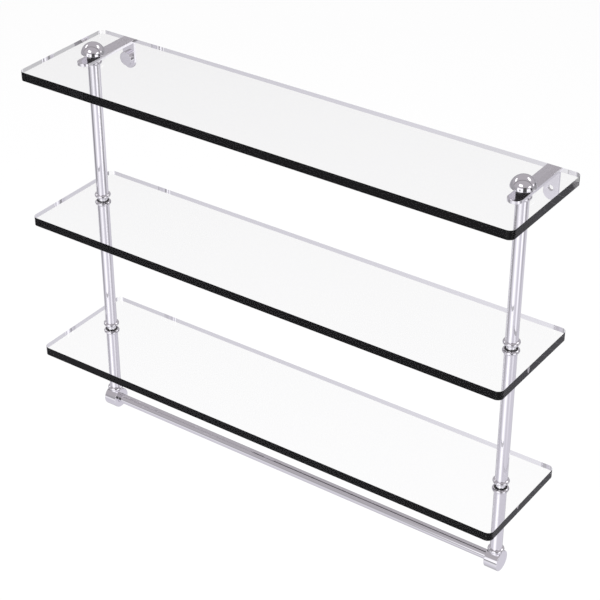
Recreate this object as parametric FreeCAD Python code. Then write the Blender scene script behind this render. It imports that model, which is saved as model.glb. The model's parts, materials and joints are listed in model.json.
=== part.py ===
import FreeCAD, Part
import math
import os

from FreeCAD import Vector

# Wall-hung glass shelf with three panes, two post lines and a towel bar, in millimetres.
# The wall is the plane y = 0, the shelf stands on its -Y side, and z = 0 is the line of the wall screws.

# Glass panes
pane_width = 558.8
pane_depth = 127.0
pane_thickness = 9.525
pane_corner_radius = 6.35
pane_edge_ease = 0.3
pane_to_wall = 6.35  # room behind the panes' rear edge

# Post lines: three tubes one above the other, with a collar at both ends of each
post_inset = 31.75  # from the panes' ends to the post axes
post_setback = 76.2  # from the panes' front edge to the post axes
upper_post_length = 152.4  # the lengths include both collars
lower_post_length = 152.4
short_post_length = 76.2
tube_diameter = 12.7
tube_wall = 1.6
collar_height = 4.0  # the collar's bead is a half round of this height
collar_step = 0.15  # the collar's flat ends stand out this far from the tube
plug_length = 8.0
plug_wall = 1.475

# Studs that join the posts, and the sleeves that line the holes in the panes
stud_engagement = 10.0
sleeve_wall = 1.7
top_sleeve_wall = 3.3  # a thicker bush, under the dome

# Dome finials
finial_radius = 12.5  # of the ball that the dome is cut from
finial_height = 11.2
finial_edge_ease = 0.3
finial_crown = 3.6  # metal left above the stud hole

# Wall brackets
strip_width = 15.0
strip_thickness = 3.175
strip_reach = 21.0  # from the post axis to the round front tip
bend_radius = 0.8  # inside of the bend
screw_drop = 20.6  # from the strip's top to the wall screw hole
leg_tail = 11.9  # from the wall screw hole to the leg's round tip
screw_hole_diameter = 5.5

# Screw cap on the left bracket
cap_diameter = 15.0
cap_height = 5.2
cap_wall = 1.5
cap_edge_ease = 0.6

# Towel bar and the end drums that hold it
bar_diameter = 10.5
drum_wall = 5.77  # metal around the bar's socket
drum_length = 15.0
drum_edge_ease = 0.4
socket_depth = 6.5
socket_web = 1.2  # metal left between the socket and the stud hole

# Clearances, on the radius for round fits
thread_clearance = 0.05
plug_clearance = 0.05
sleeve_clearance = 0.05
strip_hole_clearance = 0.12
bar_clearance = 0.08
sleeve_end_gap = 0.2
stud_end_gap = 0.5
bar_end_gap = 0.5

# Radii of what fits together, from the tube inwards
tube_radius = tube_diameter / 2
bore_radius = tube_radius - tube_wall
plug_radius = bore_radius - plug_clearance
stud_hole_radius = plug_radius - plug_wall
stud_radius = stud_hole_radius - thread_clearance
sleeve_bore_radius = stud_radius + sleeve_clearance
sleeve_radius = sleeve_bore_radius + sleeve_wall
top_sleeve_radius = sleeve_bore_radius + top_sleeve_wall
seat_radius = tube_radius + collar_step
bar_radius = bar_diameter / 2
socket_radius = bar_radius + bar_clearance
drum_radius = socket_radius + drum_wall

# Levels, from the top pane down
strip_top = screw_drop
upper_post_top = strip_top - strip_thickness
middle_pane_top = upper_post_top - upper_post_length
lower_post_top = middle_pane_top - pane_thickness
bottom_pane_top = lower_post_top - lower_post_length
short_post_top = bottom_pane_top - pane_thickness
drum_top = short_post_top - short_post_length
bar_level = drum_top - drum_radius
drum_hole_bottom = bar_level + socket_radius + socket_web
top_pane_top = strip_top + pane_thickness
finial_hole_top = top_pane_top + finial_height - finial_crown

# Places across the wall and out from it
post_spacing = pane_width - 2 * post_inset
pane_front = -pane_to_wall - pane_depth
post_y = pane_front + post_setback
sides = {"left": -1, "right": 1}

up = Vector(0, 0, 1)
along_x = Vector(1, 0, 0)
towards_wall = Vector(0, 1, 0)


def post_x(side):
    return sides[side] * post_spacing / 2


def on_post(side, z):
    return Vector(post_x(side), post_y, z)


def rod(radius, bottom, top, side):
    return Part.makeCylinder(radius, top - bottom, on_post(side, bottom), up)


def ring(outer, inner, bottom, top, side):
    return rod(outer, bottom, top, side).cut(rod(inner, bottom, top, side))


def edges_at(shape, axis, place):
    # The edges that lie in the plane where the axis has this value
    def lies_there(edge):
        return all(abs(getattr(v.Point, axis) - place) < 1e-6 for v in edge.Vertexes)
    return [edge for edge in shape.Edges if lies_there(edge)]


def pane(top, lining_radius):
    corner = Vector(-pane_width / 2, pane_front, top - pane_thickness)
    glass = Part.makeBox(pane_width, pane_depth, pane_thickness, corner)
    upright = [e for e in glass.Edges if abs(e.Vertexes[0].Z - e.Vertexes[1].Z) > pane_thickness / 2]
    glass = glass.makeFillet(pane_corner_radius, upright)
    outline = edges_at(glass, "z", top) + edges_at(glass, "z", top - pane_thickness)
    glass = glass.makeChamfer(pane_edge_ease, outline)
    for side in sides:
        glass = glass.cut(rod(lining_radius + sleeve_clearance, top - pane_thickness, top, side))
    return glass


def tongue(width, length, depth):
    # A plate with one half-round end: square end on the X axis, round tip at y = length
    half = width / 2
    shoulder = length - half
    edges = [
        Part.LineSegment(Vector(-half, shoulder, 0), Vector(-half, 0, 0)),
        Part.LineSegment(Vector(-half, 0, 0), Vector(half, 0, 0)),
        Part.LineSegment(Vector(half, 0, 0), Vector(half, shoulder, 0)),
        Part.Arc(Vector(half, shoulder, 0), Vector(0, length, 0), Vector(-half, shoulder, 0)),
    ]
    outline = Part.Wire([edge.toShape() for edge in edges])
    return Part.Face(outline).extrude(Vector(0, 0, depth))


def bent_strip(front, bottom):
    # The bracket seen from its side: along under the pane, round the bend and down the wall
    outer = bend_radius + strip_thickness
    centre = Vector(0, -outer, strip_top - outer)
    slant = Vector(0, math.cos(math.pi / 4), math.sin(math.pi / 4))
    under = strip_top - strip_thickness
    points = [
        Vector(0, front, strip_top),
        Vector(0, -outer, strip_top),
        Vector(0, 0, strip_top - outer),
        Vector(0, 0, bottom),
        Vector(0, -strip_thickness, bottom),
        Vector(0, -strip_thickness, under - bend_radius),
        Vector(0, -outer, under),
        Vector(0, front, under),
    ]
    bends = {1: centre + slant * outer, 5: centre + slant * bend_radius}
    edges = []
    for i, start in enumerate(points):
        end = points[(i + 1) % len(points)]
        edge = Part.Arc(start, bends[i], end) if i in bends else Part.LineSegment(start, end)
        edges.append(edge.toShape())
    profile = Part.Face(Part.Wire(edges))
    profile.translate(Vector(-strip_width / 2, 0, 0))
    return profile.extrude(along_x * strip_width)


def bracket(side):
    front = post_y - strip_reach
    bottom = -leg_tail
    height = strip_top - bottom
    from_above = tongue(strip_width, -front, height)
    from_above.rotate(Vector(), up, 180)
    from_above.translate(Vector(0, 0, bottom))
    from_front = tongue(strip_width, height, -front)
    from_front.rotate(Vector(), along_x, -90)
    from_front.translate(Vector(0, front, strip_top))
    strip = bent_strip(front, bottom).common(from_above).common(from_front)
    strip.translate(Vector(post_x(side), 0, 0))
    stud_hole = rod(stud_radius + strip_hole_clearance, upper_post_top, strip_top, side)
    leg_front = Vector(post_x(side), -strip_thickness, 0)
    screw_hole = Part.makeCylinder(screw_hole_diameter / 2, strip_thickness, leg_front, towards_wall)
    return strip.cut(stud_hole).cut(screw_hole)


def screw_cap(side):
    seat = Vector(post_x(side), -strip_thickness, 0)
    radius = cap_diameter / 2
    cap = Part.makeCylinder(radius, cap_height, seat, -towards_wall)
    cap = cap.makeFillet(cap_edge_ease, edges_at(cap, "y", seat.y - cap_height))
    hollow = Part.makeCylinder(radius - cap_wall, cap_height - cap_wall, seat, -towards_wall)
    return cap.cut(hollow)


def finial(side):
    sunk = finial_radius - finial_height  # the ball's centre is this far below the pane's top
    rim = math.degrees(math.asin(sunk / finial_radius))
    dome = Part.makeSphere(finial_radius, on_post(side, top_pane_top - sunk), up, rim, 90, 360)
    dome = dome.makeChamfer(finial_edge_ease, edges_at(dome, "z", top_pane_top))
    return dome.cut(rod(stud_hole_radius, top_pane_top, finial_hole_top, side))


def collar(side, end, inwards):
    # A bead with a plug; inwards is 1 where the tube is above the collar's outer end, -1 below it
    bead = collar_height / 2
    tip = collar_height + plug_length
    corners = [(seat_radius, collar_height), (plug_radius, collar_height), (plug_radius, tip),
               (stud_hole_radius, tip), (stud_hole_radius, 0), (seat_radius, 0)]
    points = [Vector(r, 0, h) for r, h in corners]
    edges = [Part.LineSegment(a, b).toShape() for a, b in zip(points, points[1:])]
    bulge = Part.Arc(points[-1], Vector(seat_radius + bead, 0, bead), points[0])
    profile = Part.Face(Part.Wire(edges + [bulge.toShape()]))
    solid = profile.revolve(Vector(), up, 360)
    if inwards < 0:
        solid.rotate(Vector(), along_x, 180)
    solid.translate(on_post(side, end))
    return solid


def bar_end(side):
    inner_sign = -sides[side]
    start = Vector(post_x(side) - drum_length / 2, post_y, bar_level)
    drum = Part.makeCylinder(drum_radius, drum_length, start, along_x)
    ends = edges_at(drum, "x", start.x) + edges_at(drum, "x", start.x + drum_length)
    drum = drum.makeChamfer(drum_edge_ease, ends)
    drum = drum.fuse(rod(seat_radius, drum_hole_bottom, drum_top, side)).removeSplitter()
    mouth = Vector(post_x(side) + inner_sign * drum_length / 2, post_y, bar_level)
    socket = Part.makeCylinder(socket_radius, socket_depth, mouth, along_x * -inner_sign)
    return drum.cut(socket).cut(rod(stud_hole_radius, drum_hole_bottom, drum_top, side))


def towel_bar():
    length = post_spacing - drum_length + 2 * (socket_depth - bar_end_gap)
    return Part.makeCylinder(bar_radius, length, Vector(-length / 2, post_y, bar_level), along_x)


def post_line(side):
    # Every piece of one post line by its node name, apart from the bracket
    pieces = {"finial": finial(side), "bar_end": bar_end(side)}
    posts = {
        "upper": (upper_post_top, middle_pane_top),
        "lower": (lower_post_top, bottom_pane_top),
        "short": (short_post_top, drum_top),
    }
    for name, (top, foot) in posts.items():
        pieces[name + "_post_tube"] = ring(tube_radius, bore_radius, foot + collar_height,
                                           top - collar_height, side)
        pieces[name + "_post_top_collar"] = collar(side, top, -1)
        pieces[name + "_post_foot_collar"] = collar(side, foot, 1)
    studs = {
        "top": (upper_post_top - stud_engagement, finial_hole_top - stud_end_gap),
        "middle": (lower_post_top - stud_engagement, middle_pane_top + stud_engagement),
        "bottom": (short_post_top - stud_engagement, bottom_pane_top + stud_engagement),
        "foot": (drum_hole_bottom + stud_end_gap, drum_top + stud_engagement),
    }
    for name, (bottom, top) in studs.items():
        pieces[name + "_stud"] = rod(stud_radius, bottom, top, side)
    sleeves = {
        "top": (top_sleeve_radius, strip_top),
        "middle": (sleeve_radius, lower_post_top),
        "bottom": (sleeve_radius, short_post_top),
    }
    for name, (outer, bottom) in sleeves.items():
        pieces[name + "_sleeve"] = ring(outer, sleeve_bore_radius, bottom,
                                        bottom + pane_thickness - sleeve_end_gap, side)
    return pieces


def save(solid, node):
    solid.exportStep(os.path.join("parts", node + ".step"))


os.makedirs("parts", exist_ok=True)

save(pane(top_pane_top, top_sleeve_radius), "top_pane")
save(pane(middle_pane_top, sleeve_radius), "middle_pane")
save(pane(bottom_pane_top, sleeve_radius), "bottom_pane")
save(towel_bar(), "towel_bar")
save(screw_cap("left"), "left_screw_cap")
for side in sides:
    save(bracket(side), side + "_bracket")
    for piece, solid in post_line(side).items():
        save(solid, side + "_" + piece)
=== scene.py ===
import bmesh
import bpy
import json
import math
from mathutils import Matrix, Vector


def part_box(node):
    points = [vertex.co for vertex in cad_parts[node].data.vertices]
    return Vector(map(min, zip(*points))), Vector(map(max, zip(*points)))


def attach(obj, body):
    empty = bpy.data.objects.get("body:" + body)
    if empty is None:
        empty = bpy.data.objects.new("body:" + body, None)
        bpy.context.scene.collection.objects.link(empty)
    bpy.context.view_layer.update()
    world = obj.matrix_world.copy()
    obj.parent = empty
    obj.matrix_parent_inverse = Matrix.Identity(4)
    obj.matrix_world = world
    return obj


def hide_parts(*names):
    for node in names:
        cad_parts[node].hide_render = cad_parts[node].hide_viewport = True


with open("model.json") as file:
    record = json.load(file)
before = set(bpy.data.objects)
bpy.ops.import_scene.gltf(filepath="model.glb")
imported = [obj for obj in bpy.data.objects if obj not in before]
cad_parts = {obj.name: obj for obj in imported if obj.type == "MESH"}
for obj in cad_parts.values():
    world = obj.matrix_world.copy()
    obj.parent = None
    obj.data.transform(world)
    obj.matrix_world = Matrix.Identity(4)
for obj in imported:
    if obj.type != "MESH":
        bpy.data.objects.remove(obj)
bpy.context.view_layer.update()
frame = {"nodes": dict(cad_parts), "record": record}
mm = 0.001
sides = ("left", "right")
posts = ("upper", "lower", "short")
panes = ("top", "middle", "bottom")
slotOf = {entry["node"]: entry["material_slot"] for entry in frame["record"]["subparts"]}
print("frame loaded,", len(frame["nodes"]), "nodes")


# helpers for things and nodes

def outwards(azimuth, elevation):
    turn, lift = math.radians(azimuth), math.radians(elevation)
    return Vector((math.sin(turn) * math.cos(lift), -math.cos(turn) * math.cos(lift), math.sin(lift)))


def facing(place, away):
    return Matrix.Translation(place) @ away.to_track_quat("Z", "Y").to_matrix().to_4x4()


def addThing(name, data):
    thing = bpy.data.objects.new(name, data)
    bpy.context.scene.collection.objects.link(thing)
    return thing


def addNode(tree, kind, values=None, **settings):
    node = tree.nodes.new(kind)
    for key, value in settings.items():
        setattr(node, key, value)
    for socket, value in (values or {}).items():
        node.inputs[socket].default_value = value
    return node


def newMaterial(name, **values):
    material = bpy.data.materials.new(name)
    material.use_nodes = True
    shader = material.node_tree.nodes["Principled BSDF"]
    for label, value in values.items():
        shader.inputs[label.replace("_", " ")].default_value = value
    return material, material.node_tree, shader


def mixed(tree, factor, first, second):
    mix = addNode(tree, "ShaderNodeMixShader")
    tree.links.new(factor, mix.inputs[0])
    tree.links.new(first.outputs[0], mix.inputs[1])
    tree.links.new(second.outputs[0], mix.inputs[2])
    return mix


def sums(tree, operation, *values):
    # one operation along a row of sockets and plain numbers
    result = values[0]
    for value in values[1:]:
        node = addNode(tree, "ShaderNodeMath", operation=operation)
        for socket, given in zip(node.inputs, (result, value)):
            if isinstance(given, bpy.types.NodeSocket):
                tree.links.new(given, socket)
            else:
                socket.default_value = given
        result = node.outputs[0]
    return result


def fade(tree, value, start, end):
    # 1 below start, 0 above end
    node = addNode(tree, "ShaderNodeMapRange", {"To Min": 1.0, "To Max": 0.0},
                   interpolation_type="SMOOTHSTEP")
    for label, given in (("Value", value), ("From Min", start), ("From Max", end)):
        if isinstance(given, bpy.types.NodeSocket):
            tree.links.new(given, node.inputs[label])
        else:
            node.inputs[label].default_value = given
    return node.outputs["Result"]


# shared shader groups

def newGroup(name, inputs, output):
    group = bpy.data.node_groups.new(name, "ShaderNodeTree")
    for label, value in inputs.items():
        socket = group.interface.new_socket(name=label, in_out="INPUT", socket_type="NodeSocketFloat")
        socket.default_value = value
    group.interface.new_socket(name=output, in_out="OUTPUT", socket_type="NodeSocketFloat")
    return group, group.nodes.new("NodeGroupInput"), group.nodes.new("NodeGroupOutput")


def makeWipeMarks():
    group, given, result = newGroup("wipeMarks", {"Scale": 30.0, "Low": 0.0, "High": 0.1}, "Roughness")
    link = group.links.new
    place = addNode(group, "ShaderNodeTexCoord")
    cloud = addNode(group, "ShaderNodeTexNoise", {"Detail": 5.0, "Roughness": 0.62, "Distortion": 0.6})
    ramp = addNode(group, "ShaderNodeMapRange", {"From Min": 0.35, "From Max": 0.75})
    link(place.outputs["Object"], cloud.inputs["Vector"])
    link(given.outputs["Scale"], cloud.inputs["Scale"])
    link(cloud.outputs["Fac"], ramp.inputs["Value"])
    link(given.outputs["Low"], ramp.inputs["To Min"])
    link(given.outputs["High"], ramp.inputs["To Max"])
    link(ramp.outputs["Result"], result.inputs["Roughness"])
    return group


def makePolishLines():
    group, given, result = newGroup("polishLines", {"Along": 40.0, "Across": 1500.0}, "Height")
    link = group.links.new
    place = addNode(group, "ShaderNodeTexCoord")
    stretch = addNode(group, "ShaderNodeCombineXYZ")
    scaled = addNode(group, "ShaderNodeVectorMath", operation="MULTIPLY")
    lines = addNode(group, "ShaderNodeTexNoise", {"Scale": 1.0, "Detail": 3.0})
    link(given.outputs["Along"], stretch.inputs["X"])
    link(given.outputs["Along"], stretch.inputs["Y"])
    link(given.outputs["Across"], stretch.inputs["Z"])
    link(place.outputs["Object"], scaled.inputs[0])
    link(stretch.outputs["Vector"], scaled.inputs[1])
    link(scaled.outputs["Vector"], lines.inputs["Vector"])
    link(lines.outputs["Fac"], result.inputs["Height"])
    return group


def makeSoftBox():
    # 1 where a direction is inside a light box of the room, all measures in degrees
    measures = {"Turn": 0.0, "Lift": 0.0, "Azimuth": 0.0, "Elevation": 0.0,
                "Wide": 20.0, "High": 20.0, "SoftWide": 2.0, "SoftHigh": 2.0}
    group, entry, result = newGroup("softBox", measures, "Mask")
    given = entry.outputs
    masks = []
    for measure, middle, span in (("Turn", "Azimuth", "Wide"), ("Lift", "Elevation", "High")):
        apart = addNode(group, "ShaderNodeMath", {1: 180.0, 2: -180.0}, operation="WRAP")
        size = addNode(group, "ShaderNodeMath", operation="ABSOLUTE")
        half = sums(group, "MULTIPLY", given[span], 0.5)
        group.links.new(sums(group, "SUBTRACT", given[measure], given[middle]), apart.inputs[0])
        group.links.new(apart.outputs[0], size.inputs[0])
        soft = given["Soft" + span]
        start = sums(group, "SUBTRACT", half, soft)
        end = sums(group, "ADD", half, soft)
        masks.append(fade(group, size.outputs[0], start, end))
    group.links.new(sums(group, "MULTIPLY", *masks), result.inputs["Mask"])
    return group


wipeMarks = makeWipeMarks()
polishLines = makePolishLines()
softBox = makeSoftBox()
lineHeight = 0.0001  # metres, at full strength


def useGroup(tree, group, **values):
    node = addNode(tree, "ShaderNodeGroup", node_tree=group)
    for label, value in values.items():
        node.inputs[label].default_value = value
    return node


def addMarks(tree, shader, look):
    marks = useGroup(tree, wipeMarks, Scale=look["marks"], Low=look["low"], High=look["high"])
    tree.links.new(marks.outputs["Roughness"], shader.inputs["Roughness"])


def addLines(tree, shader, look):
    lines = useGroup(tree, polishLines, Along=look["along"], Across=look["across"])
    bump = addNode(tree, "ShaderNodeBump", {"Strength": look["lines"], "Distance": lineHeight})
    tree.links.new(lines.outputs["Height"], bump.inputs["Height"])
    tree.links.new(bump.outputs["Normal"], shader.inputs["Normal"])


# camera and studio

view = dict(azimuth=35.004, elevation=32.386, place=(0.876405, -1.295479, 0.772701),
            lens=106.593, shift=(-0.0015, 0.0183), sensor=36)
floorLook = dict(height=-1.1, size=24.0, colour=(0.9, 0.9, 0.9, 1), rough=0.9, shine=0.9)
overhead = dict(place=(0, -0.4, 2.2), size=2.4, level=8.0)
room = dict(ceiling=(0.46, 0.44, 0.465, 1), wall=(0.38, 0.372, 0.395, 1), ground=(0.68, 0.665, 0.725, 1),
            wallTop=(4, 16), wallFoot=(-26, -16), deepest=5)  # glass faces that a mirrored ray may pass before the room is painted black for it
black, background = (0, 0, 0, 1), (1, 1, 1, 1)
white, cool, grey = (1, 1, 1), (0.99, 0.985, 1.02), (0.99, 0.98, 1.02)
# where the ceiling's two halves meet
seam = dict(azimuth=23, half=(1.2, 3.6), colour=(0.19, 0.18, 0.19, 1))
# later boxes cover earlier ones
lightBoxes = [
    # dim corners and ground
    dict(azimuth=130, elevation=-12, wide=60, high=24, soft=(6, 6), level=0.31, tint=grey),
    dict(azimuth=112, elevation=-19, wide=30, high=22, soft=(5, 5), level=0.3, tint=grey),
    dict(azimuth=-68, elevation=-20, wide=44, high=28, soft=(8, 8), level=0.31, tint=grey),
    dict(azimuth=-150, elevation=-46, wide=80, high=26, soft=(15, 8), level=0.5, tint=grey),
    dict(azimuth=0, elevation=-85, wide=400, high=40, soft=(2, 8), level=0.5, tint=grey),
    # lamps that the domes show
    dict(azimuth=-92, elevation=34, wide=28, high=10, soft=(2, 2), level=2.0, tint=white),
    dict(azimuth=157, elevation=47, wide=38, high=15, soft=(2, 2), level=2.0, tint=white),
    dict(azimuth=-1, elevation=40, wide=36, high=17, soft=(2, 2), level=2.0, tint=white),
    dict(azimuth=85, elevation=22, wide=22, high=10, soft=(2, 2), level=2.0, tint=white),
    dict(azimuth=128, elevation=15, wide=12, high=10, soft=(2, 2), level=1.4, tint=white),
    # what the top pane's left edge and the left strip's side show
    dict(azimuth=120, elevation=-19, wide=12, high=12, soft=(3, 3), level=1.2, tint=white),
    dict(azimuth=136.6, elevation=-24, wide=6, high=6, soft=(1, 1), level=0.58, tint=cool),
    dict(azimuth=144.2, elevation=-23, wide=12, high=9, soft=(0.3, 3), level=1.15, tint=cool),
    # lit floor and window in front, and the marks that the drums show in them
    dict(azimuth=2, elevation=-34, wide=44, high=24, soft=(18, 8), level=1.17, tint=cool),
    dict(azimuth=1.5, elevation=-4, wide=47, high=42, soft=(3, 3), level=1.25, tint=cool),
    dict(azimuth=1, elevation=3, wide=12, high=10, soft=(4, 4), level=0.3, tint=grey),
    dict(azimuth=-36, elevation=-15, wide=18, high=14, soft=(3, 3), level=0.9, tint=cool),
    dict(azimuth=-22, elevation=-18, wide=14, high=18, soft=(2, 2), level=0.68, tint=cool),
    dict(azimuth=-20, elevation=-13, wide=9, high=8, soft=(1.5, 1.5), level=0.22, tint=grey),
    # window on the right
    dict(azimuth=75, elevation=-16, wide=26, high=34, soft=(6, 6), level=1.3, tint=cool),
    dict(azimuth=68, elevation=-6, wide=28, high=34, soft=(3, 3), level=1.25, tint=cool),
    # camera on its stand, and other dark things
    dict(azimuth=41, elevation=1, wide=30, high=50, soft=(2, 2), level=0.09, tint=white),
    dict(azimuth=97, elevation=-3, wide=14, high=24, soft=(2, 2), level=0.05, tint=grey),
    dict(azimuth=133, elevation=-9, wide=10, high=10, soft=(3, 3), level=0.15, tint=grey),
    dict(azimuth=154, elevation=-1, wide=12, high=12, soft=(3, 3), level=0.1, tint=grey),
]


def addCamera():
    camera = bpy.data.cameras.new("camera")
    camera.sensor_width = view["sensor"]
    camera.lens = view["lens"]
    camera.shift_x, camera.shift_y = view["shift"]
    thing = addThing("camera", camera)
    thing.matrix_world = facing(view["place"], outwards(view["azimuth"], view["elevation"]))
    bpy.context.scene.camera = thing


def straightRays(tree):
    # 1 for the eye and straight through the glass, 0 once a ray has been reflected
    rays = addNode(tree, "ShaderNodeLightPath").outputs
    unbounced = sums(tree, "LESS_THAN", rays["Glossy Depth"], 0.5)
    through = sums(tree, "MULTIPLY", rays["Is Transmission Ray"], unbounced)
    return rays, sums(tree, "MAXIMUM", rays["Is Camera Ray"], through)


def addFloor():
    mesh = bpy.data.meshes.new("floor")
    shape = bmesh.new()
    bmesh.ops.create_grid(shape, x_segments=1, y_segments=1, size=floorLook["size"] / 2)
    shape.to_mesh(mesh)
    shape.free()
    thing = addThing("floor", mesh)
    thing.location.z = floorLook["height"]
    material, tree, shader = newMaterial("paleFloor", Base_Color=floorLook["colour"],
                                         Roughness=floorLook["rough"])
    rays, seen = straightRays(tree)
    bright = addNode(tree, "ShaderNodeEmission", {"Strength": 1.0})
    clear = addNode(tree, "ShaderNodeBsdfTransparent")
    shine = sums(tree, "MULTIPLY", seen, floorLook["shine"])
    shown = mixed(tree, shine, shader, bright)  # the rest takes the shadow
    shown = mixed(tree, rays["Glossy Depth"], shown, clear)  # metal shows the room's own ground
    tree.links.new(shown.outputs[0], tree.nodes["Material Output"].inputs["Surface"])
    mesh.materials.append(material)


def painted(tree, factor, below, colour):
    mix = addNode(tree, "ShaderNodeMix", {7: colour}, data_type="RGBA")
    tree.links.new(factor, mix.inputs["Factor"])
    if isinstance(below, bpy.types.NodeSocket):
        tree.links.new(below, mix.inputs[6])
    else:
        mix.inputs[6].default_value = below
    return mix.outputs[2]


def turnAndLift(tree, direction):
    # a direction's azimuth and elevation in degrees
    parts = addNode(tree, "ShaderNodeSeparateXYZ")
    tree.links.new(direction, parts.inputs[0])
    forward = sums(tree, "MULTIPLY", parts.outputs["Y"], -1.0)
    turn = sums(tree, "ARCTAN2", parts.outputs["X"], forward)
    rise = addNode(tree, "ShaderNodeMath", operation="ARCSINE")
    tree.links.new(parts.outputs["Z"], rise.inputs[0])
    return [sums(tree, "MULTIPLY", angle, math.degrees(1)) for angle in (turn, rise.outputs[0])]


def seamMask(tree, direction):
    sideways = outwards(seam["azimuth"], 0)
    across = addNode(tree, "ShaderNodeVectorMath", {1: sideways}, operation="DOT_PRODUCT")
    tree.links.new(direction, across.inputs[0])
    aside = addNode(tree, "ShaderNodeMath", operation="ABSOLUTE")
    tree.links.new(across.outputs["Value"], aside.inputs[0])
    return fade(tree, aside.outputs[0], *[math.sin(math.radians(angle)) for angle in seam["half"]])


def addRoom():
    world = bpy.data.worlds.new("studioRoom")
    bpy.context.scene.world = world
    world.use_nodes = True
    tree = world.node_tree
    direction = addNode(tree, "ShaderNodeTexCoord").outputs["Generated"]
    turn, lift = turnAndLift(tree, direction)
    shown = painted(tree, seamMask(tree, direction), room["ceiling"], seam["colour"])
    shown = painted(tree, fade(tree, lift, *room["wallTop"]), shown, room["wall"])
    shown = painted(tree, fade(tree, lift, *room["wallFoot"]), shown, room["ground"])
    for box in lightBoxes:
        mask = useGroup(tree, softBox, Azimuth=box["azimuth"], Elevation=box["elevation"], Wide=box["wide"],
                        High=box["high"], SoftWide=box["soft"][0], SoftHigh=box["soft"][1])
        tree.links.new(turn, mask.inputs["Turn"])
        tree.links.new(lift, mask.inputs["Lift"])
        colour = (*[part * box["level"] for part in box["tint"]], 1)
        shown = painted(tree, mask.outputs["Mask"], shown, colour)
    rays, straight = straightRays(tree)
    once = sums(tree, "COMPARE", rays["Glossy Depth"], 1.0)
    deep = sums(tree, "GREATER_THAN", rays["Transmission Depth"], room["deepest"] + 0.5)
    paintedDarkRays = sums(tree, "MULTIPLY", once, deep)  # painted shade: a ray mirrored once, then led through three panes, sees black
    shown = painted(tree, paintedDarkRays, shown, black)
    shown = painted(tree, straight, shown, background)
    tree.links.new(shown, tree.nodes["Background"].inputs["Color"])


def addLamp():
    lamp = bpy.data.lights.new("overhead", "AREA")
    lamp.size = overhead["size"]
    lamp.energy = overhead["level"] * math.pi * lamp.size ** 2  # its face then shines at this level
    thing = addThing("overhead", lamp)
    thing.location = overhead["place"]
    for rays in ("camera", "glossy", "transmission"):
        setattr(thing, "visible_" + rays, False)


addCamera()
addFloor()
addRoom()
addLamp()
bpy.context.scene.view_settings.view_transform = "Standard"
print("camera placed and studio lit")


# finishes

chromeLook = dict(colour=(0.9, 0.885, 0.915, 1), marks=26.0, low=0.012, high=0.045,
                  lines=0.012, along=40.0, across=1500.0)
glassLook = dict(colour=(0.974, 0.975, 0.976, 1), ior=1.28, marks=9.0, low=0.0, high=0.003)
# black finish for painted shade, put on faces where only shade falls
shadeBlackLook = dict(colour=(0.008, 0.008, 0.009, 1), gloss=0.12, marks=80.0, low=0.5, high=0.75)
steelLook = dict(colour=(0.56, 0.56, 0.58, 1), marks=60.0, low=0.22, high=0.38,
                 lines=0.06, along=90.0, across=2200.0)


def metalFinish(name, look):
    material, tree, shader = newMaterial(name, Base_Color=look["colour"], Metallic=1.0)
    addMarks(tree, shader, look)
    addLines(tree, shader, look)
    return material


def glassFinish(name, look):
    material, tree, shader = newMaterial(name, Base_Color=look["colour"], Transmission_Weight=1.0,
                                         IOR=look["ior"])
    addMarks(tree, shader, look)
    return material


def shadeBlackFinish(name, look):
    material, tree, shader = newMaterial(name, Base_Color=look["colour"], Specular_IOR_Level=look["gloss"])
    addMarks(tree, shader, look)
    return material


finishOf = {
    "chrome": metalFinish("polishedChrome", chromeLook),
    "glass": glassFinish("clearGlass", glassLook),
    "steel": metalFinish("studSteel", steelLook),
    "rubber": shadeBlackFinish("paintedShadeBlack", shadeBlackLook),
}
print("finishes made")


# mesh helpers, in millimetres

# how near counts as being there
near = dict(axis=1e-6, flat=1e-4, rim=1e-3, wall=0.002, end=1e-4, cut=1e-5, sliver=0.004)


def arc(x, y, radius, start, end, steps):
    turns = [math.radians(start + (end - start) * i / steps) for i in range(steps + 1)]
    return [(x + radius * math.cos(turn), y + radius * math.sin(turn)) for turn in turns]


def softened(corners, steps=4):
    # each corner is x, y and the radius that rounds it
    loop = []
    for i, (x, y, radius) in enumerate(corners):
        here = Vector((x, y))
        if not radius:
            loop.append(here)
            continue
        back = (Vector(corners[i - 1][:2]) - here).normalized()
        ahead = (Vector(corners[(i + 1) % len(corners)][:2]) - here).normalized()
        half = back.angle(ahead) / 2
        middle = (back + ahead).normalized() * (radius / math.sin(half))
        start = back * (radius / math.tan(half)) - middle
        end = ahead * (radius / math.tan(half)) - middle
        turn = math.pi - 2 * half
        for k in range(steps + 1):
            part = turn * k / steps
            onArc = (start * math.sin(turn - part) + end * math.sin(part)) / math.sin(turn)
            loop.append(here + middle + onArc)
    return loop


def lathe(loop, steps=96):
    shape = bmesh.new()
    turns = [2 * math.pi * i / steps for i in range(steps)]
    rings = []
    for radius, height in loop:
        if radius < near["axis"]:
            rings.append([shape.verts.new((0, 0, height))] * steps)
        else:
            ring = [(radius * math.cos(turn), radius * math.sin(turn), height) for turn in turns]
            rings.append([shape.verts.new(point) for point in ring])
    for here, after in zip(rings, rings[1:] + rings[:1]):
        for i in range(steps):
            corners = list(dict.fromkeys((here[i - 1], here[i], after[i], after[i - 1])))
            if len(corners) > 2:
                shape.faces.new(corners)
    bmesh.ops.recalc_face_normals(shape, faces=shape.faces)
    return shape


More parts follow.
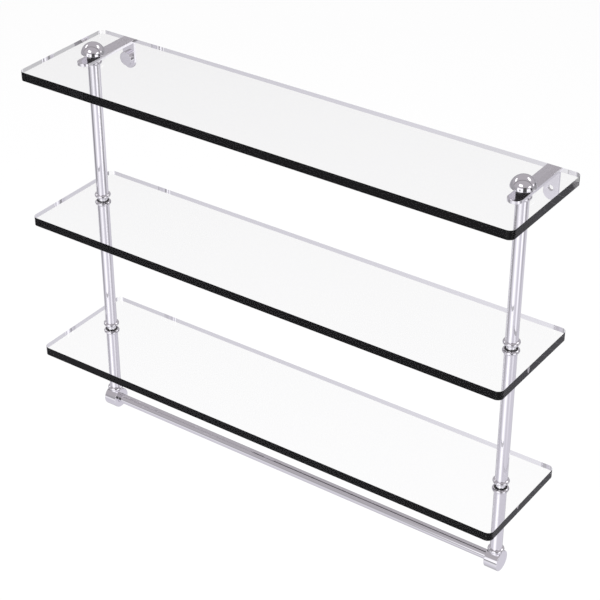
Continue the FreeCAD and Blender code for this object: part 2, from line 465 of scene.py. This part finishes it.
def plate(outlines, thickness, ease, steps=3):
    # a flat plate with eased edges; each outline gives its points for an inset, the first is the rim
    shape = bmesh.new()
    turns = [math.pi / 2 * k / steps for k in range(steps + 1)]
    layers = [(ease * (1 - math.sin(turn)), ease * (1 - math.cos(turn))) for turn in turns]
    layers += [(inset, thickness - height) for inset, height in reversed(layers)]
    faces = ([], [])
    for outline in outlines:
        rings = [[shape.verts.new((x, y, height)) for x, y in outline(inset)] for inset, height in layers]
        for here, after in zip(rings, rings[1:]):
            for i in range(len(here)):
                shape.faces.new((here[i - 1], here[i], after[i], after[i - 1]))
        for ring, edges in zip((rings[0], rings[-1]), faces):
            edges += [shape.edges.get((ring[i - 1], ring[i])) for i in range(len(ring))]
    for edges in faces:
        bmesh.ops.triangle_fill(shape, use_beauty=True, use_dissolve=False, edges=edges)
    bmesh.ops.recalc_face_normals(shape, faces=shape.faces)
    return shape


def roundedRectangle(width, depth, corner, steps=20):
    def outline(inset):
        points = []
        for k, (right, back) in enumerate(((1, 1), (-1, 1), (-1, -1), (1, -1))):
            x, y = right * (width / 2 - corner), back * (depth / 2 - corner)
            points += arc(x, y, corner - inset, 90 * k, 90 * k + 90, steps)
        return points
    return outline


def roundHole(x, y, radius, steps=72):
    return lambda inset: arc(x, y, radius + inset, 0, 360, steps)[:-1]


alongX = Matrix.Rotation(math.pi / 2, 4, "Y")
fromWall = Matrix.Rotation(math.pi / 2, 4, "X")  # turns up to -Y
upsideDown = Matrix.Rotation(math.pi, 4, "X")


def middleOf(node):
    low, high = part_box(node)
    return (low + high) / 2


def sizeOf(node):
    low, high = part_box(node)
    return (high - low) / mm


def bottomOf(node):
    place = middleOf(node)
    place.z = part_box(node)[0].z
    return place


def topOf(node):
    place = middleOf(node)
    place.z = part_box(node)[1].z
    return place


def flatSeat(radius):
    # painted shade: the face at height 0, out to a radius, that meets the glass is made black, standing for
    # the contact shadow seen through the glass
    def onSeat(vert):
        return abs(vert.co.z) < near["flat"] and vert.co.xy.length < radius + near["rim"]
    return lambda face: all(onSeat(vert) for vert in face.verts)


def holeWall(holes):
    # the walls of the holes, each given by its x, y and radius
    def onWall(vert):
        return any(abs(math.hypot(vert.co.x - x, vert.co.y - y) - radius) < near["wall"]
                   for x, y, radius in holes)
    return lambda face: all(onWall(vert) for vert in face.verts)


def finishPiece(node, shape, place, turn=None, sharp=32, dark=None):
    for face in shape.faces:
        face.material_index = int(dark is not None and dark(face))
    moved = Matrix.Translation(place) @ (turn or Matrix()) @ Matrix.Scale(mm, 4)
    bmesh.ops.transform(shape, matrix=moved, verts=shape.verts)
    mesh = bpy.data.meshes.new(node + "_dressed")
    shape.to_mesh(mesh)
    shape.free()
    mesh.shade_smooth()
    mesh.set_sharp_from_angle(angle=math.radians(sharp))
    piece = addThing(node + "_dressed", mesh)
    mesh.materials.append(finishOf[slotOf[node]])
    # painted shade: the chosen faces get the black finish
    if dark:
        mesh.materials.append(finishOf["rubber"])
    shading = piece.modifiers.new("evenShading", "WEIGHTED_NORMAL")
    shading.keep_sharp = True
    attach(piece, "towel_bar" if node == "towel_bar" else "frame")
    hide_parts(node)


# glass panes

# clear keeps glass and metal faces apart
paneDetail = dict(corner=6.35, ease=0.05, holeRoom=0.05, clear=0.03)


def makePane(name):
    node = name + "_pane"
    detail = paneDetail
    middle = middleOf(node)
    size = sizeOf(node)
    holes = []
    for side in sides:
        sleeve = f"{side}_{name}_sleeve"
        post = (middleOf(sleeve) - middle) / mm
        holes.append((post.x, post.y, sizeOf(sleeve).x / 2 + detail["holeRoom"]))
    rim = roundedRectangle(size.x, size.y, detail["corner"])
    thickness = size.z - 2 * detail["clear"]
    shape = plate([rim] + [roundHole(*hole) for hole in holes], thickness, detail["ease"])
    paintedShadeWalls = holeWall(holes) if name == "top" else None  # painted shade: the top pane's hole walls are made black so that a dark cylinder shows through the glass
    finishPiece(node, shape, bottomOf(node) + Vector((0, 0, detail["clear"] * mm)), dark=paintedShadeWalls)


for name in panes:
    makePane(name)
print("panes made")


# posts: tubes, bead collars, sleeves and studs

tubeDetail = dict(wall=1.6, ease=0.12)
collarDetail = dict(bead=4.0, seat=6.5, plug=4.7, hole=3.225, ease=0.1, beadSteps=24)
sleeveDetail = dict(bore=3.225, ease=0.15)
studDetail = dict(pitch=1.27, depth=0.45, lead=0.8, around=36, perTurn=8)


def makeTube(node):
    size = sizeOf(node)
    radius, ease = size.x / 2, tubeDetail["ease"]
    bore = radius - tubeDetail["wall"]
    loop = softened([(bore, 0, ease), (radius, 0, ease), (radius, size.z, ease), (bore, size.z, ease)])
    finishPiece(node, lathe(loop), bottomOf(node))


def makeCollar(node, plugDown):
    detail = collarDetail
    size = sizeOf(node)
    bead = detail["bead"]
    ease = detail["ease"]
    bulge = [Vector(point) for point in arc(detail["seat"], bead / 2, bead / 2, -90, 90, detail["beadSteps"])]
    inside = softened([(detail["seat"], bead, 0), (detail["plug"], bead, 0), (detail["plug"], size.z, ease),
                       (detail["hole"], size.z, ease), (detail["hole"], 0, ease), (detail["seat"], 0, 0)])
    shape = lathe(bulge + inside[1:-1])
    # painted shade: the seat that meets the glass is made black
    if plugDown:
        finishPiece(node, shape, topOf(node), upsideDown, dark=flatSeat(detail["seat"]))
    else:
        finishPiece(node, shape, bottomOf(node), dark=flatSeat(detail["seat"]))


def makeSleeve(node):
    size = sizeOf(node)
    radius, bore, ease = size.x / 2, sleeveDetail["bore"], sleeveDetail["ease"]
    loop = softened([(bore, 0, ease), (radius, 0, ease), (radius, size.z, ease), (bore, size.z, ease)])
    finishPiece(node, lathe(loop), bottomOf(node))


def makeStud(node):
    detail = studDetail
    size = sizeOf(node)
    radius, around = size.x / 2, detail["around"]
    rows = round(size.z / detail["pitch"] * detail["perTurn"])
    shape = bmesh.new()
    rings = []
    for k in range(rows + 1):
        height = size.z * k / rows
        fromEnd = min(height, size.z - height)
        lead = detail["depth"] * max(0, 1 - fromEnd / detail["lead"])  # chamfered thread start
        ring = []
        for i in range(around):
            phase = (height / detail["pitch"] - i / around) % 1
            depth = max(detail["depth"] * abs(2 * phase - 1), lead)
            turn = 2 * math.pi * i / around
            reach = radius - depth
            ring.append(shape.verts.new((reach * math.cos(turn), reach * math.sin(turn), height)))
        rings.append(ring)
    for here, after in zip(rings, rings[1:]):
        for i in range(around):
            shape.faces.new((here[i - 1], here[i], after[i], after[i - 1]))
    shape.faces.new(rings[0])
    shape.faces.new(rings[-1])
    bmesh.ops.recalc_face_normals(shape, faces=shape.faces)
    finishPiece(node, shape, bottomOf(node))


for side in sides:
    for post in posts:
        stem = f"{side}_{post}_post_"
        makeTube(stem + "tube")
        makeCollar(stem + "top_collar", True)
        makeCollar(stem + "foot_collar", False)
    for name in panes:
        makeSleeve(f"{side}_{name}_sleeve")
    for name in panes + ("foot",):
        makeStud(f"{side}_{name}_stud")
print("posts made")


# dome finials

# rimRise is how many degrees of the ball the eased rim takes
finialDetail = dict(ball=12.5, hole=3.225, seat=6.6, crown=3.6, ease=0.3, holeEase=0.1, rimRise=1.5, steps=44)


def makeFinial(node):
    detail = finialDetail
    ball, height = detail["ball"], sizeOf(node).z
    middle = height - ball  # the ball's centre is a little below the pane's top
    rim = math.degrees(math.asin(-middle / ball))
    dome = [Vector(point) for point in arc(0, middle, ball, rim + detail["rimRise"], 90, detail["steps"])]
    dome[-1].x = 0
    top = height - detail["crown"]
    base = softened([(detail["hole"], top, 0), (detail["hole"], 0, detail["holeEase"]), (detail["seat"], 0, 0),
                     (dome[0].x, 0, detail["ease"]), (dome[0].x, dome[0].y, 0)])
    shape = lathe(base[:-1] + dome + [Vector((0, top))])
    # painted shade: the flat base on the glass is made black
    finishPiece(node, shape, bottomOf(node), dark=flatSeat(detail["seat"]))


for side in sides:
    makeFinial(side + "_finial")
print("finials made")


# wall brackets: a flat blank with two holes, folded down the wall

bracketDetail = dict(width=15.0, thickness=3.175, bend=0.8, studHole=3.295, screwHole=2.75, ease=0.25,
                     bendSteps=10, endSteps=28)


def makeBracket(side):
    node = side + "_bracket"
    detail = bracketDetail
    low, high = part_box(node)
    middle = middleOf(node)
    width, thick, bend = detail["width"], detail["thickness"], detail["bend"]
    front = low.y / mm
    bendY, bendZ = -bend - thick, high.z / mm - bend - thick
    run = bendY - front  # flat length before the bend
    neutral = bend + thick / 2
    turned = neutral * math.pi / 2
    length = run + turned + bendZ - low.z / mm
    postRow = middleOf(side + "_finial").y / mm - front
    screwRow = run + turned + bendZ
    outlines = [roundedRectangle(width, length, width / 2 - near["end"], detail["endSteps"]),
                roundHole(0, postRow - length / 2, detail["studHole"]),
                roundHole(0, screwRow - length / 2, detail["screwHole"])]
    blank = plate(outlines, thick, detail["ease"])
    for k in range(detail["bendSteps"] + 1):
        cut = run + turned * k / detail["bendSteps"] - length / 2
        everything = blank.verts[:] + blank.edges[:] + blank.faces[:]
        bmesh.ops.bisect_plane(blank, geom=everything, dist=near["cut"],
                               plane_co=(0, cut, 0), plane_no=(0, 1, 0))
    for vert in blank.verts:
        along, rise = vert.co.y + length / 2, vert.co.z
        turn = min(max((along - run) / neutral, 0), math.pi / 2)
        before, after = min(along - run, 0), max(along - run - turned, 0)
        vert.co.y = bendY + before + (bend + rise) * math.sin(turn)
        vert.co.z = bendZ - after + (bend + rise) * math.cos(turn)
    finishPiece(node, blank, Vector((middle.x, 0, 0)))


for side in sides:
    makeBracket(side)
print("brackets made")


# screw cap on the left bracket

capDetail = dict(wall=1.5, ease=0.6, lip=0.15, inside=0.3, steps=6)


def makeCap(node):
    detail = capDetail
    size = sizeOf(node)
    radius, height = size.x / 2, size.y
    bore, roof = radius - detail["wall"], height - detail["wall"]
    corners = [(0, roof, 0), (bore, roof, detail["inside"]), (bore, 0, detail["lip"]),
               (radius, 0, detail["lip"]), (radius, height, detail["ease"]), (0, height, 0)]
    loop = softened(corners, detail["steps"])
    seat = middleOf(node)
    seat.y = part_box(node)[1].y
    finishPiece(node, lathe(loop), seat, fromWall)


makeCap("left_screw_cap")
print("screw cap made")


# towel bar and the drums that hold it

barDetail = dict(ease=0.35)
drumDetail = dict(length=15.0, ease=0.4, socketRadius=5.33, socketDepth=6.5, lip=0.25, neck=6.5, hole=3.225,
                  web=1.2, inset=0.002, over=1.0, around=128)  # the hole is cut from over the top


def makeBar(node):
    size = sizeOf(node)
    radius, half, ease = size.y / 2, size.x / 2, barDetail["ease"]
    loop = softened([(0, -half, 0), (radius, -half, ease), (radius, half, ease), (0, half, 0)])
    finishPiece(node, lathe(loop), middleOf(node), alongX)


def joined(shapes):
    # the first shape with the second fused on and the third cut out
    things = []
    for shape in shapes:
        mesh = bpy.data.meshes.new("drumForm")
        shape.to_mesh(mesh)
        shape.free()
        things.append(addThing("drumForm", mesh))
    for thing, operation in zip(things[1:], ("UNION", "DIFFERENCE")):
        step = things[0].modifiers.new(operation, "BOOLEAN")
        step.object, step.operation, step.solver = thing, operation, "EXACT"
    bpy.context.view_layer.update()
    whole = bmesh.new()
    whole.from_object(things[0], bpy.context.evaluated_depsgraph_get())
    bmesh.ops.triangulate(whole, faces=whole.faces)
    bmesh.ops.dissolve_degenerate(whole, edges=whole.edges, dist=near["sliver"])  # left by the cuts
    for thing in things:
        bpy.data.objects.remove(thing)
    return whole


def makeDrum(side):
    node = side + "_bar_end"
    detail = drumDetail
    radius = sizeOf(node).z / 2 - detail["inset"]
    half, ease = detail["length"] / 2, detail["ease"]
    socket, floor = detail["socketRadius"], half - detail["socketDepth"]
    loop = softened([(0, -half, 0), (radius, -half, ease), (radius, half, ease),
                     (socket, half, detail["lip"]), (socket, floor, 0), (0, floor, 0)])
    body = lathe(loop, detail["around"])
    turn = alongX if side == "left" else Matrix.Rotation(-math.pi / 2, 4, "Y")  # sockets face each other
    bmesh.ops.transform(body, matrix=turn, verts=body.verts)
    holeFloor = socket + detail["web"]
    cutTop = radius + detail["over"]
    neck = lathe([(0, holeFloor), (detail["neck"], holeFloor), (detail["neck"], radius), (0, radius)])
    hole = lathe([(0, holeFloor), (detail["hole"], holeFloor), (detail["hole"], cutTop), (0, cutTop)])
    finishPiece(node, joined([body, neck, hole]), middleOf(node))


makeBar("towel_bar")
for side in sides:
    makeDrum(side)
print("towel bar made")
